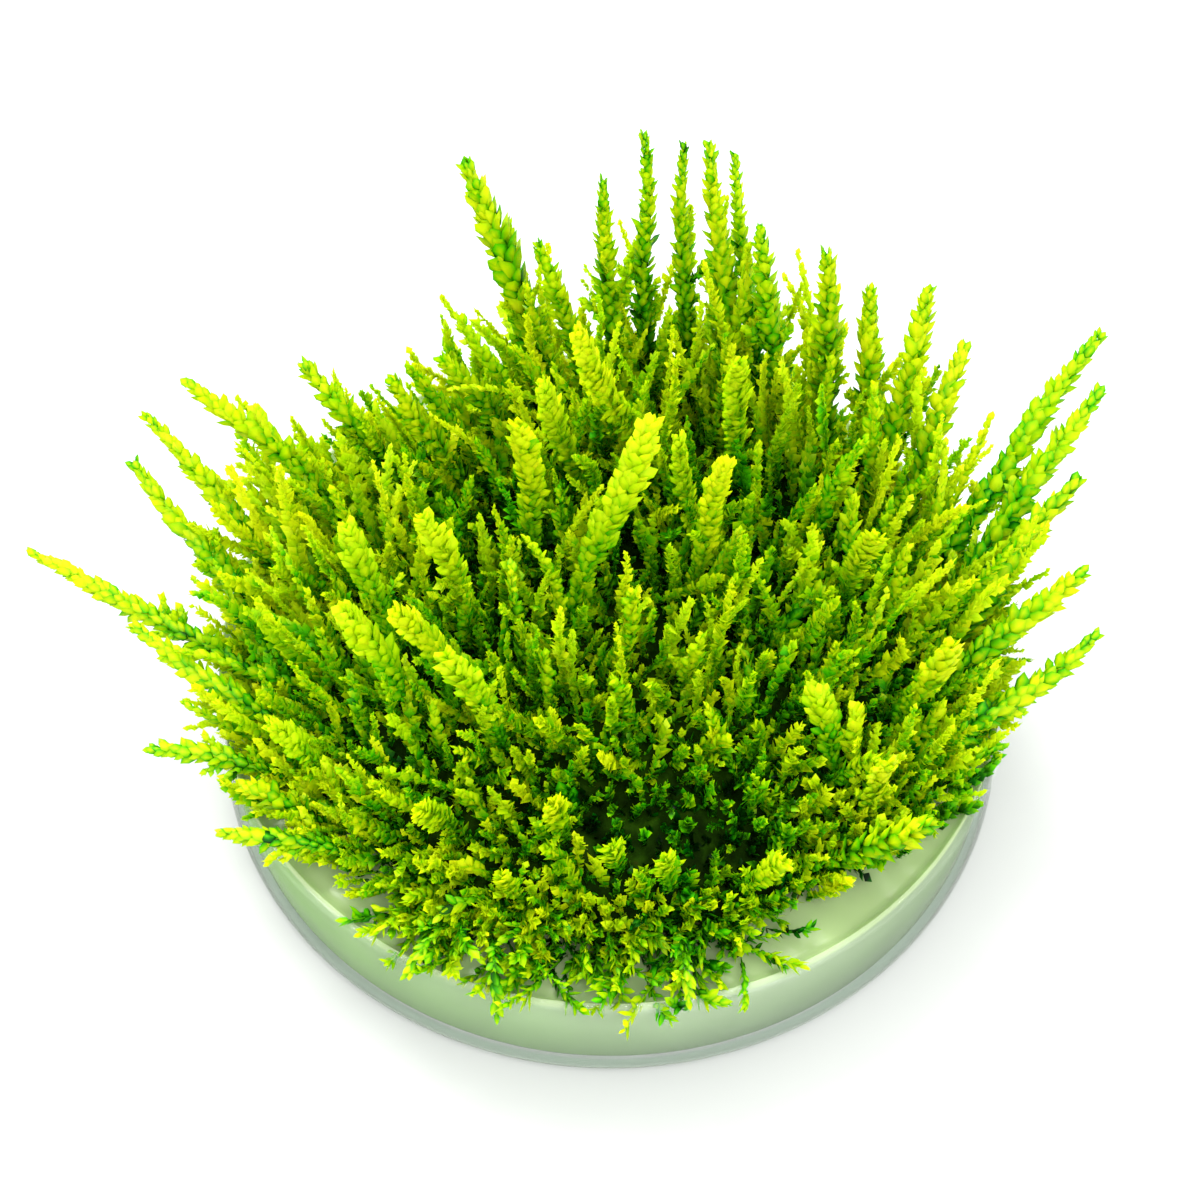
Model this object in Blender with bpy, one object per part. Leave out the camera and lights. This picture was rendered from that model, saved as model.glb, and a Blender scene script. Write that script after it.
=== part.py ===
"""A clump of aquatic moss on nutrient gel in a shallow round clear dish.

Solids: the turned dish, the gel that fills it, the tangled mat of old stems
that lies on the gel, and the long leafy shoots that rise and lean out of the
mat.  Lengths are written in millimetres and scaled to metres by MM.
The origin is the centre of the dish's underside, +Z is up and the side that
faces -Y is the front.
"""

import math

import bmesh
import bpy
from mathutils import Vector

MM = 0.001

# Dish: a moulded culture dish, 100 mm across.
DISH_RADIUS = 50.0
DISH_HEIGHT = 17.0
DISH_WALL = 1.3
DISH_FLOOR = 1.5
DISH_DRAFT = 0.5          # how much narrower the outside is at the floor
CORNER_RADIUS = 2.0       # outside corner between wall and floor
RIM_ROUNDING = 0.4
TURNED_STEPS = 72

# Gel: poured to just under the rim.
GEL_TOP = 15.3
GEL_MENISCUS = 0.5        # how much higher the gel stands at the wall
MENISCUS_WIDTH = 2.5
GAP = 0.3                 # clearance between pieces that touch

# Mat: the low cushion of tangled stems that the shoots grow from.
MAT_RADIUS = 41.0
MAT_RISE = 5.0            # height of its crown above its thin edge
MAT_EDGE = 1.6            # thickness at the edge
MAT_WAVE = 1.3            # depth of the lobes round its outline
MAT_LOBES = 7
MAT_UNDERCUT = 0.94       # radius of its underside, as a share of its outline
MAT_HUMPS = 0.5           # depth of the humps on its top
HUMP_TURN_X = 0.31        # radians of hump wave per millimetre
HUMP_TURN_Y = 0.27
MAT_SPOKES = 40
MAT_RINGS = 6

# Shoots: tapering leafy stems, thickest below the middle.
SHOOT_POINTS = 9
SHOOT_ROUNDING = 1        # bevel resolution, which gives six sides
FOOT_GIRTH = 0.55         # radius at the foot, as a share of the full radius
TIP_GIRTH = 0.22
WIDEST_AT = 0.35          # share of the length where a shoot is thickest
FOOT_LIFT = 0.15          # extra clearance of a leaning foot over the humps

# Each shoot: foot x, y on the mat; tip x, y, z; how far its middle bows
# upwards; and its full radius.  Sectors are named as seen from the front.
SHOOTS = {
    "left": [
        (-39, -8, -73, 10, 25, 1.5, 1.3),
        (-39, -1, -60, 19, 33, -1.0, 1.4),
        (-38, 6, -58, 22, 38, -0.5, 1.3),
        (-31, 14, -52, 22, 44, 2.5, 1.5),
        (-37, -15, -59, -2, 27, 0.5, 1.3),
        (-37, -20, -56, -18, 23, 1.5, 1.2),
        (-30, -30, -47, -29, 22, 1.5, 1.2),
        (-34, -26, -44, -25, 26, 1.0, 1.3),
    ],
    "back_left": [
        (-24, 17, -38, 26, 43, 2.0, 1.6),
        (-17, 19, -27, 22, 45, 1.0, 1.5),
        (-11, 26, -21, 26, 44, 1.0, 1.5),
    ],
    "back": [
        (-6, 31, -18, 45, 59, 2.0, 2.0),
        (-1, 30, -9, 37, 53, 1.5, 1.5),
        (1, 33, -1, 41, 60, 0.5, 1.5),
        (5, 35, 4, 47, 62, -0.5, 1.4),
        (10, 34, 9, 46, 61, 0.5, 1.3),
        (16, 31, 12, 45, 62, 1.5, 1.5),
        (20, 34, 15, 46, 59, 1.0, 1.2),
        (23, 28, 18, 37, 56, 1.0, 1.6),
        (28, 25, 26, 34, 55, 1.0, 1.7),
    ],
    "back_right": [
        (32, 22, 32, 33, 49, 1.0, 1.5),
        (33, 16, 39, 32, 50, 2.0, 1.5),
        (36, 12, 44, 29, 43, 2.0, 1.5),
    ],
    "right": [
        (38, 7, 61, 29, 46, -1.5, 1.5),
        (39, 1, 61, 24, 41, -1.0, 1.5),
        (39, -4, 58, 13, 37, -0.5, 1.6),
        (38, -10, 58, 2, 33, 1.0, 1.5),
        (35, -20, 60, -3, 27, -1.0, 1.4),
        (24, -33, 37, -34, 33, 1.5, 1.7),
    ],
    "heart": [
        (-6, -2, 5, 7, 56, 1.0, 1.9),
        (6, 21, -4, 16, 61, 1.0, 1.8),
        (-9, 7, -11, 8, 54, 1.0, 1.7),
        (-3, 17, -8, 15, 53, 1.0, 1.6),
        (9, 2, 14, 5, 51, 1.0, 1.5),
        (-16, -2, -22, -2, 49, 1.0, 1.6),
        (-26, -5, -31, 0, 45, 1.0, 1.6),
        (-22, -15, -31, -12, 45, 1.0, 1.8),
        (-16, -12, -25, -13, 46, 1.0, 1.6),
        (-12, -19, -19, -20, 47, 1.0, 1.7),
        (27, -21, 24, -17, 36, 0.5, 1.8),
        (16, 21, 15, 16, 55, 1.0, 1.7),
        (28, 3, 31, -4, 47, 1.0, 1.6),
        (34, -14, 40, -14, 40, 0.5, 1.8),
        (30, -26, 32, -27, 35, 0.5, 1.6),
        (11, 9, 8, 11, 48, 0.5, 1.3),
    ],
    "front": [
        (-5, -30, -7, -35, 39, 0.5, 1.8),
        (-18, -28, -22, -34, 36, 0.5, 1.7),
        (1, -34, 0, -37, 33, 0.5, 1.6),
        (7, -36, 6, -38, 32, 0.5, 1.5),
        (15, -36, 20, -38, 31, 0.5, 1.6),
        (-32, -21, -40, -23, 37, 0.5, 1.6),
        (-10, -37, -13, -39, 30, 0.5, 1.4),
        (8, -41, 9, -51, 19.5, 2.5, 1.0),
        (-14, -41, -13, -51.5, 15.5, 4.0, 1.0),
        (-18, -38, -24, -47, 19, 2.0, 1.0),
    ],
}


def make_material(name, colour, roughness, alpha=1.0, transmission=0.0, ior=1.45):
    """Return a Principled material with the given look."""
    material = bpy.data.materials.new(name)
    material.use_nodes = True
    shader = material.node_tree.nodes["Principled BSDF"]
    shader.inputs["Base Color"].default_value = (*colour, 1.0)
    shader.inputs["Roughness"].default_value = roughness
    shader.inputs["Alpha"].default_value = alpha
    shader.inputs["Transmission Weight"].default_value = transmission
    shader.inputs["IOR"].default_value = ior
    return material


def arc(centre, radius, start, end, steps):
    """Return steps + 1 points (r, z) along an arc, with angles in degrees."""
    points = []
    for i in range(steps + 1):
        angle = math.radians(start + (end - start) * i / steps)
        points.append((centre[0] + radius * math.cos(angle), centre[1] + radius * math.sin(angle)))
    return points


def add_object(name, mesh, material):
    """Link a mesh into the scene as a named object of one material."""
    mesh.materials.append(material)
    mesh.shade_smooth()
    mesh.set_sharp_from_angle(angle=math.radians(35))
    item = bpy.data.objects.new(name, mesh)
    bpy.context.scene.collection.objects.link(item)
    return item


def turned(name, outline, material):
    """Turn an outline (r, z), drawn from the axis out and back to the axis, into a solid."""
    mesh_data = bmesh.new()
    low_pole = mesh_data.verts.new((0.0, 0.0, outline[0][1] * MM))
    high_pole = mesh_data.verts.new((0.0, 0.0, outline[-1][1] * MM))
    rings = []
    for radius, height in outline[1:-1]:
        ring = []
        for step in range(TURNED_STEPS):
            angle = 2.0 * math.pi * step / TURNED_STEPS
            place = Vector((radius * math.cos(angle), radius * math.sin(angle), height))
            ring.append(mesh_data.verts.new(place * MM))
        rings.append(ring)
    for step in range(TURNED_STEPS):
        following = (step + 1) % TURNED_STEPS
        mesh_data.faces.new((low_pole, rings[0][following], rings[0][step]))
        mesh_data.faces.new((high_pole, rings[-1][step], rings[-1][following]))
        for lower, upper in zip(rings, rings[1:]):
            mesh_data.faces.new((lower[step], lower[following], upper[following], upper[step]))
    bmesh.ops.recalc_face_normals(mesh_data, faces=mesh_data.faces)
    mesh = bpy.data.meshes.new(name)
    mesh_data.to_mesh(mesh)
    mesh_data.free()
    return add_object(name, mesh, material)


def inner_radius(height):
    """Radius of the dish's inside wall at a height, which follows the draft."""
    outside = DISH_RADIUS - DISH_DRAFT * (1.0 - height / DISH_HEIGHT)
    return outside - DISH_WALL


def build_dish(material):
    """The dish: flat underside, rounded corner, near-upright wall and rounded rim."""
    foot = DISH_RADIUS - DISH_DRAFT
    outside_corner = arc((foot - CORNER_RADIUS, CORNER_RADIUS), CORNER_RADIUS, -90, 0, 3)
    rim_height = DISH_HEIGHT - RIM_ROUNDING
    outside_rim = arc((DISH_RADIUS - RIM_ROUNDING, rim_height), RIM_ROUNDING, 0, 90, 2)
    inside_rim_radius = inner_radius(DISH_HEIGHT) + RIM_ROUNDING
    inside_rim = arc((inside_rim_radius, rim_height), RIM_ROUNDING, 90, 180, 2)
    fillet = CORNER_RADIUS - DISH_WALL / 2.0
    fillet_centre = (inner_radius(DISH_FLOOR + fillet) - fillet, DISH_FLOOR + fillet)
    inside_corner = arc(fillet_centre, fillet, 0, -90, 3)
    outline = [(0.0, 0.0)] + outside_corner + outside_rim + inside_rim + inside_corner
    return turned("dish", outline + [(0.0, DISH_FLOOR)], material)


def build_gel(material):
    """The gel: a puck that follows the dish's inside and rises slightly at the wall."""
    floor = DISH_FLOOR + GAP
    fillet = CORNER_RADIUS - DISH_WALL / 2.0
    corner_centre = (inner_radius(floor + fillet) - GAP - fillet, floor + fillet)
    corner = arc(corner_centre, fillet, -90, 0, 3)
    edge = inner_radius(GEL_TOP) - GAP
    meniscus = []
    for share in (0.0, 0.4, 1.0):
        rise = GEL_MENISCUS * (1.0 - share) ** 2
        meniscus.append((edge - share * MENISCUS_WIDTH, GEL_TOP + rise))
    return turned("gel", [(0.0, floor)] + corner + meniscus + [(0.0, GEL_TOP)], material)


def mat_edge(angle):
    """Radius of the mat's outline at an angle in radians."""
    return MAT_RADIUS + MAT_WAVE * math.sin(MAT_LOBES * angle + 0.8) * math.cos(2.0 * angle)


def mat_top(x, y):
    """Height of the mat's upper face: a low dome with gentle humps."""
    share = min(math.hypot(x, y) / mat_edge(math.atan2(y, x)), 1.0)
    dome = MAT_RISE * (1.0 - share ** 4)
    humps = MAT_HUMPS * math.sin(HUMP_TURN_X * x + 1.0) * math.cos(HUMP_TURN_Y * y) * (1.0 - share)
    return GEL_TOP + GEL_MENISCUS + GAP + MAT_EDGE + dome + humps


def build_mat(material):
    """The mat: a lobed, domed cushion with a flat underside that rests on the gel."""
    underside = GEL_TOP + GAP
    outline_shares = [(ring + 1) / MAT_RINGS for ring in range(MAT_RINGS)]
    mesh_data = bmesh.new()

    def ring_of(share, height_of):
        """Add one ring of vertices at a share of the outline's radius."""
        ring = []
        for spoke in range(MAT_SPOKES):
            angle = 2.0 * math.pi * spoke / MAT_SPOKES
            radius = share * mat_edge(angle)
            x = radius * math.cos(angle)
            y = radius * math.sin(angle)
            ring.append(mesh_data.verts.new(Vector((x, y, height_of(x, y))) * MM))
        return ring

    low_pole = mesh_data.verts.new(Vector((0.0, 0.0, underside)) * MM)
    high_pole = mesh_data.verts.new(Vector((0.0, 0.0, mat_top(0.0, 0.0))) * MM)
    rings = [ring_of(MAT_UNDERCUT, lambda x, y: underside)]
    rings += [ring_of(share, mat_top) for share in reversed(outline_shares)]
    for spoke in range(MAT_SPOKES):
        following = (spoke + 1) % MAT_SPOKES
        mesh_data.faces.new((low_pole, rings[0][following], rings[0][spoke]))
        mesh_data.faces.new((high_pole, rings[-1][spoke], rings[-1][following]))
        for lower, upper in zip(rings, rings[1:]):
            mesh_data.faces.new((lower[spoke], lower[following], upper[following], upper[spoke]))
    bmesh.ops.recalc_face_normals(mesh_data, faces=mesh_data.faces)
    mesh = bpy.data.meshes.new("moss_mat")
    mesh_data.to_mesh(mesh)
    mesh_data.free()
    return add_object("moss_mat", mesh, material)


def girth(share):
    """Radius along a shoot, as a share of its full radius: swells, then tapers to the tip."""
    swell = FOOT_GIRTH + (1.0 - FOOT_GIRTH) * min(share / WIDEST_AT, 1.0)
    past_widest = max(share - WIDEST_AT, 0.0) / (1.0 - WIDEST_AT)
    taper = 1.0 - (1.0 - TIP_GIRTH) * past_widest ** 1.6
    return swell * taper


def build_shoot(name, row, material):
    """One shoot: a tapering tube along a bowed line from the mat to the tip."""
    foot_x, foot_y, tip_x, tip_y, tip_z, bow, radius = row
    tip = Vector((tip_x, tip_y, tip_z))
    foot = Vector((foot_x, foot_y, mat_top(foot_x, foot_y)))
    lean = (tip - foot).angle(Vector((0.0, 0.0, 1.0)))
    foot.z += GAP + FOOT_GIRTH * radius * math.sin(lean) + FOOT_LIFT
    knee = (foot + tip) / 2.0 + Vector((0.0, 0.0, 2.0 * bow))
    curve = bpy.data.curves.new(name, "CURVE")
    curve.dimensions = "3D"
    curve.bevel_depth = radius * MM
    curve.bevel_resolution = SHOOT_ROUNDING
    curve.use_fill_caps = True
    spline = curve.splines.new("POLY")
    spline.points.add(SHOOT_POINTS - 1)
    for i, point in enumerate(spline.points):
        t = i / (SHOOT_POINTS - 1)
        place = foot * (1.0 - t) ** 2 + knee * 2.0 * t * (1.0 - t) + tip * t ** 2
        point.co = (*(place * MM), 1.0)
        point.radius = girth(t)
    curve.materials.append(material)
    shoot = bpy.data.objects.new(name, curve)
    bpy.context.scene.collection.objects.link(shoot)
    return shoot


def build_clump():
    """Clear the scene and build the dish, gel, mat and every shoot."""
    for item in list(bpy.data.objects):
        bpy.data.objects.remove(item, do_unlink=True)
    plastic = make_material("dish_plastic", (0.92, 0.95, 0.93), 0.08, transmission=1.0, ior=1.59)
    agar = make_material("gel_agar", (0.52, 0.66, 0.40), 0.25)
    old_stems = make_material("mat_stems", (0.05, 0.16, 0.01), 0.6)
    leaves = make_material("moss_leaf", (0.32, 0.62, 0.01), 0.4)
    build_dish(plastic)
    build_gel(agar)
    build_mat(old_stems)
    for sector, rows in SHOOTS.items():
        for number, row in enumerate(rows, start=1):
            build_shoot(f"{sector}_shoot_{number}", row, leaves)


build_clump()
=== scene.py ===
"""Looks of a clump of aquatic moss on nutrient gel in a clear culture dish.

Every length in this file is written in millimetres and turned to metres by MM where a
mesh, a light or the camera is made.  +Z is up and the side that faces -Y is the front.
"""

import logging
import math
from dataclasses import dataclass, field
from enum import Enum

import bpy
import numpy as np
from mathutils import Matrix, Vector

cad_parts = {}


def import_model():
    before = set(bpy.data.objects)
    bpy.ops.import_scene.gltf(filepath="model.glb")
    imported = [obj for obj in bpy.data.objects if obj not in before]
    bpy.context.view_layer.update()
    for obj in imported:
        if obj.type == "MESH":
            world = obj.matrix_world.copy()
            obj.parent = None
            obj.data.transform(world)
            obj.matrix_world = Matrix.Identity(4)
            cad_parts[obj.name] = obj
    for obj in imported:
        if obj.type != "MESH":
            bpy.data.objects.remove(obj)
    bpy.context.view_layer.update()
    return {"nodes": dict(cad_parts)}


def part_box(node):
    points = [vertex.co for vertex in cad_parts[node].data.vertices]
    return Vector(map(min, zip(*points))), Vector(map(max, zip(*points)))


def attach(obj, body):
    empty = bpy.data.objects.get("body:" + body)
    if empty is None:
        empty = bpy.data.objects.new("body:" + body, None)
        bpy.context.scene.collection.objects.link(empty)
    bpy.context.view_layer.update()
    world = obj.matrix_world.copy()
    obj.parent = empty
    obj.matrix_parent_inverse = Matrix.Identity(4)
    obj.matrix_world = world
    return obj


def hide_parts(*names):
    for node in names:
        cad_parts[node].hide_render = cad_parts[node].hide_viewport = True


MM = 0.001
BODY = "root"
TINY = 1e-9
UNCHANGED_HUE = 0.5
log = logging.getLogger("moss_clump")


# ---------------------------------------------------------------- colours and node helpers


def srgb(code: str) -> tuple[float, float, float, float]:
    """Turn an sRGB hex colour into linear light.

    Args:
        code: Six hex digits, with or without a leading hash.

    Returns:
        Linear red, green and blue, and an alpha of one.
    """
    digits = code.lstrip("#")
    values = np.array([int(digits[i:i + 2], 16) for i in (0, 2, 4)]) / 255.0
    linear = np.where(values <= 0.04045, values / 12.92, ((values + 0.055) / 1.055) ** 2.4)
    return (*linear.tolist(), 1.0)


def paint_stops(ramp: bpy.types.ColorRamp, stops: tuple[tuple[float, str], ...]) -> None:
    """Give a colour ramp its stops.

    Args:
        ramp: The ramp.
        stops: Pairs of position and hex colour, in rising order.
    """
    while len(ramp.elements) < len(stops):
        ramp.elements.new(0.5)
    for element, (position, code) in zip(ramp.elements, stops):
        element.position = position
        element.color = srgb(code)


def add_node(tree: bpy.types.NodeTree, kind: str, settings: dict | None = None,
             links: dict | None = None) -> bpy.types.Node:
    """Add one shader node with its settings and its incoming links.

    Args:
        tree: The node tree that gets the node.
        kind: The node's type name, such as ShaderNodeTexNoise.
        settings: Attribute names, or socket names and numbers, with their values; stops
            are those of a colour ramp.
        links: Socket names or numbers, with the output socket that feeds each.

    Returns:
        The new node.
    """
    node = tree.nodes.new(kind)
    for key, value in (settings or {}).items():
        if key == "stops":
            paint_stops(node.color_ramp, value)
        elif isinstance(key, str) and hasattr(node, key):
            setattr(node, key, value)
        else:
            node.inputs[key].default_value = value
    for key, source in (links or {}).items():
        tree.links.new(source, node.inputs[key])
    return node


def blank_material(name: str) -> tuple[bpy.types.Material, bpy.types.NodeTree]:
    """Return a new material and its emptied node tree."""
    material = bpy.data.materials.new(name)
    material.use_nodes = True
    material.node_tree.nodes.clear()
    return material, material.node_tree


# ---------------------------------------------------------------- finishes


@dataclass(frozen=True)
class MossLeafFinish:
    """Living moss leaf: one cell layer thick, so light shines through it and saturates.

    Young leaves are yellow lime, older ones mid green, and the lowest near black green,
    which is mostly painted shade.  The youth attribute runs from 0, oldest, to 1, youngest,
    and also carries painted shade, low in the clump, in hollows and between overlapping
    leaves, and painted light where the clump is backlit.  The tone attribute moves a
    shoot's hue.  Each shift is the whole width of a change, half up and half down.
    """

    name: str = "moss_leaf_one_cell_thick"
    stops: tuple[tuple[float, str], ...] = (
        (0.0, "#041C00"), (0.2, "#166A00"), (0.4, "#5CC202"),
        (0.6, "#ABD404"), (0.8, "#CFE40A"), (1.0, "#DFEC18"),
    )
    roughness: float = 0.38
    roughness_shift: float = 0.3
    ior: float = 1.45
    specular: float = 0.15
    translucency: float = 0.55
    blotch_scale: float = 1.0 / (1.2 * MM)
    blotch_shift: float = 0.16
    hue_shift: float = 0.024

    def material(self) -> bpy.types.Material:
        """Build the leaf material.

        Returns:
            A Principled surface mixed with a translucent one of the same colour.
        """
        material, tree = blank_material(self.name)
        # The youth attribute holds the leaves' age together with painted shade and painted light.
        youth = add_node(tree, "ShaderNodeAttribute", {"attribute_name": "youth"})
        tone = add_node(tree, "ShaderNodeAttribute", {"attribute_name": "tone"})
        place = add_node(tree, "ShaderNodeTexCoord")
        blotch = add_node(tree, "ShaderNodeTexNoise", {"Scale": self.blotch_scale, "Detail": 1.0},
                          {"Vector": place.outputs["Object"]})
        shift = add_node(tree, "ShaderNodeMath",
                         {"operation": "MULTIPLY_ADD", 1: self.blotch_shift, 2: -self.blotch_shift / 2.0},
                         {0: blotch.outputs["Fac"]})
        age = add_node(tree, "ShaderNodeMath", {"operation": "ADD", "use_clamp": True},
                       {0: youth.outputs["Fac"], 1: shift.outputs[0]})
        green = add_node(tree, "ShaderNodeValToRGB", {"stops": self.stops}, {"Fac": age.outputs[0]})
        hue = add_node(tree, "ShaderNodeMath",
                       {"operation": "MULTIPLY_ADD", 1: self.hue_shift,
                        2: UNCHANGED_HUE - self.hue_shift / 2.0},
                       {0: tone.outputs["Fac"]})
        tinted = add_node(tree, "ShaderNodeHueSaturation",
                          links={"Hue": hue.outputs[0], "Color": green.outputs["Color"]})
        gloss = add_node(tree, "ShaderNodeMath",
                         {"operation": "MULTIPLY_ADD", 1: self.roughness_shift,
                          2: self.roughness - self.roughness_shift / 2.0},
                         {0: blotch.outputs["Fac"]})
        surface = add_node(tree, "ShaderNodeBsdfPrincipled",
                           {"IOR": self.ior, "Specular IOR Level": self.specular},
                           {"Base Color": tinted.outputs["Color"], "Roughness": gloss.outputs[0]})
        glow = add_node(tree, "ShaderNodeBsdfTranslucent", links={"Color": tinted.outputs["Color"]})
        both = add_node(tree, "ShaderNodeMixShader", {"Fac": self.translucency},
                        {1: surface.outputs["BSDF"], 2: glow.outputs["BSDF"]})
        add_node(tree, "ShaderNodeOutputMaterial", links={"Surface": both.outputs["Shader"]})
        return material


@dataclass(frozen=True)
class OldStemFinish:
    """Old moss stem and rhizoid: olive to brown wiry skin with a damp shine."""

    name: str = "old_moss_stem"
    stops: tuple[tuple[float, str], ...] = (
        (0.0, "#2A2408"), (0.35, "#4A4A0C"), (0.7, "#5F7A14"), (1.0, "#86A834"),
    )
    roughness: float = 0.38
    ior: float = 1.45
    specular: float = 0.4

    def material(self) -> bpy.types.Material:
        """Build the stem material.

        Returns:
            A surface that runs from brown to olive by the youth attribute.
        """
        material, tree = blank_material(self.name)
        youth = add_node(tree, "ShaderNodeAttribute", {"attribute_name": "youth"})
        skin = add_node(tree, "ShaderNodeValToRGB", {"stops": self.stops}, {"Fac": youth.outputs["Fac"]})
        surface = add_node(tree, "ShaderNodeBsdfPrincipled",
                           {"Roughness": self.roughness, "IOR": self.ior,
                            "Specular IOR Level": self.specular},
                           {"Base Color": skin.outputs["Color"]})
        add_node(tree, "ShaderNodeOutputMaterial", links={"Surface": surface.outputs["BSDF"]})
        return material


@dataclass(frozen=True)
class PeatyMatAndShadeFinish:
    """Tangle of dead stems and shaded leaves: dark, wet, mottled green and brown; its near-black colours are
    mostly painted shade deep in the clump.
    """

    name: str = "moss_mat_with_painted_shade"
    # Near-black stops: painted shade deep in the clump, over the stems' own dark brown and green.
    stops: tuple[tuple[float, str], ...] = (
        (0.25, "#060F00"), (0.5, "#0F2400"), (0.65, "#1C3602"), (0.8, "#2A2C06"),
    )
    clump_scale: float = 1.0 / (2.4 * MM)
    bump_strength: float = 0.9
    bump_depth: float = 0.6
    roughness: float = 0.6
    ior: float = 1.4
    specular: float = 0.02

    def material(self) -> bpy.types.Material:
        """Build the mat material.

        Returns:
            A surface with noise for its colour and for a strong fine bump.
        """
        material, tree = blank_material(self.name)
        place = add_node(tree, "ShaderNodeTexCoord")
        clumps = add_node(tree, "ShaderNodeTexNoise", {"Scale": self.clump_scale, "Detail": 5.0},
                          {"Vector": place.outputs["Object"]})
        dark = add_node(tree, "ShaderNodeValToRGB", {"stops": self.stops}, {"Fac": clumps.outputs["Fac"]})
        bump = add_node(tree, "ShaderNodeBump",
                        {"Strength": self.bump_strength, "Distance": self.bump_depth * MM},
                        {"Height": clumps.outputs["Fac"]})
        surface = add_node(tree, "ShaderNodeBsdfPrincipled",
                           {"Roughness": self.roughness, "IOR": self.ior,
                            "Specular IOR Level": self.specular},
                           {"Base Color": dark.outputs["Color"], "Normal": bump.outputs["Normal"]})
        add_node(tree, "ShaderNodeOutputMaterial", links={"Surface": surface.outputs["BSDF"]})
        return material


@dataclass(frozen=True)
class NutrientGelFinish:
    """Agar gel: milky, pale green, wet on top; deeper low down, green to the left, dull to the right.

    The colour darkens low down and dulls to the right as painted shade, and greens to the
    left as painted light through the moss.  The tints of the two sides start at a share of
    the radius across and are mixed in up to their share at the wall.  A paler painted
    highlight lies on the topmost part.
    """

    name: str = "milky_agar_gel"
    floor_height: float = 1.8
    top_height: float = 15.5
    # Low and high paint shade down the gel, left paints light through the moss on the left, right paints
    # shade on the right, and the paler top is a painted highlight.
    low: str = "#49603D"
    high: str = "#7E936C"
    left: str = "#4E7A12"
    left_start: float = 0.2
    left_share: float = 0.85
    right: str = "#3A5028"
    right_start: float = 0.15
    right_share: float = 0.7
    skin: str = "#8CA06E"
    top_highlight_height: float = 15.35
    top_highlight_depth: float = 0.6
    radius: float = 49.0
    cloud_size: float = 9.0
    cloud_swing: float = 0.14
    ripple_strength: float = 0.15
    ripple_depth: float = 0.4
    roughness: float = 0.22
    ior: float = 1.34
    milkiness: float = 0.3
    milk_depth: float = 3.0
    milk_spread: tuple[float, float, float] = (1.0, 1.3, 0.8)

    def material(self) -> bpy.types.Material:
        """Build the gel material.

        Returns:
            A scattering surface whose colour runs with height and from side to side.
        """
        material, tree = blank_material(self.name)
        place = add_node(tree, "ShaderNodeTexCoord")
        parts = add_node(tree, "ShaderNodeSeparateXYZ", links={"Vector": place.outputs["Object"]})
        # Painted shade: the colour darkens from high to low down the gel.
        rise = add_node(tree, "ShaderNodeMapRange",
                        {"From Min": self.floor_height * MM, "From Max": self.top_height * MM},
                        {"Value": parts.outputs["Z"]})
        height_shade = add_node(tree, "ShaderNodeValToRGB", {"stops": ((0.0, self.low), (1.0, self.high))},
                         {"Fac": rise.outputs["Result"]})
        # Painted light: greener towards the left, as lit through the moss.
        across = add_node(tree, "ShaderNodeMapRange",
                          {"From Min": -self.radius * MM, "From Max": self.left_start * self.radius * MM,
                           "To Min": self.left_share, "To Max": 0.0},
                          {"Value": parts.outputs["X"]})
        left_lit = add_node(tree, "ShaderNodeMix", {"data_type": "RGBA", 7: srgb(self.left)},
                           {0: across.outputs["Result"], 6: height_shade.outputs["Color"]})
        # Painted shade: duller towards the right.
        right_shaded = add_node(tree, "ShaderNodeMapRange",
                          {"From Min": self.right_start * self.radius * MM, "From Max": self.radius * MM,
                           "To Max": self.right_share},
                          {"Value": parts.outputs["X"]})
        tinted = add_node(tree, "ShaderNodeMix", {"data_type": "RGBA", 7: srgb(self.right)},
                          {0: right_shaded.outputs["Result"], 6: left_lit.outputs[2]})
        # Painted highlight: paler over the topmost part.
        crest = add_node(tree, "ShaderNodeMapRange",
                         {"From Min": (self.top_highlight_height - self.top_highlight_depth) * MM,
                          "From Max": self.top_highlight_height * MM},
                         {"Value": parts.outputs["Z"]})
        top_highlighted = add_node(tree, "ShaderNodeMix", {"data_type": "RGBA", 7: srgb(self.skin)},
                           {0: crest.outputs["Result"], 6: tinted.outputs[2]})
        cloud = add_node(tree, "ShaderNodeTexNoise", {"Scale": 1.0 / (self.cloud_size * MM), "Detail": 2.0},
                         {"Vector": place.outputs["Object"]})
        ripple = add_node(tree, "ShaderNodeBump",
                          {"Strength": self.ripple_strength, "Distance": self.ripple_depth * MM},
                          {"Height": cloud.outputs["Fac"]})
        value = add_node(tree, "ShaderNodeMapRange",
                         {"To Min": 1.0 - self.cloud_swing, "To Max": 1.0 + self.cloud_swing},
                         {"Value": cloud.outputs["Fac"]})
        clouded = add_node(tree, "ShaderNodeHueSaturation",
                           links={"Value": value.outputs["Result"], "Color": top_highlighted.outputs[2]})
        surface = add_node(tree, "ShaderNodeBsdfPrincipled",
                           {"Roughness": self.roughness, "IOR": self.ior, "Subsurface Weight": self.milkiness,
                            "Subsurface Radius": self.milk_spread, "Subsurface Scale": self.milk_depth * MM},
                           {"Base Color": clouded.outputs["Color"], "Normal": ripple.outputs["Normal"]})
        add_node(tree, "ShaderNodeOutputMaterial", links={"Surface": surface.outputs["BSDF"]})
        return material


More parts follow.
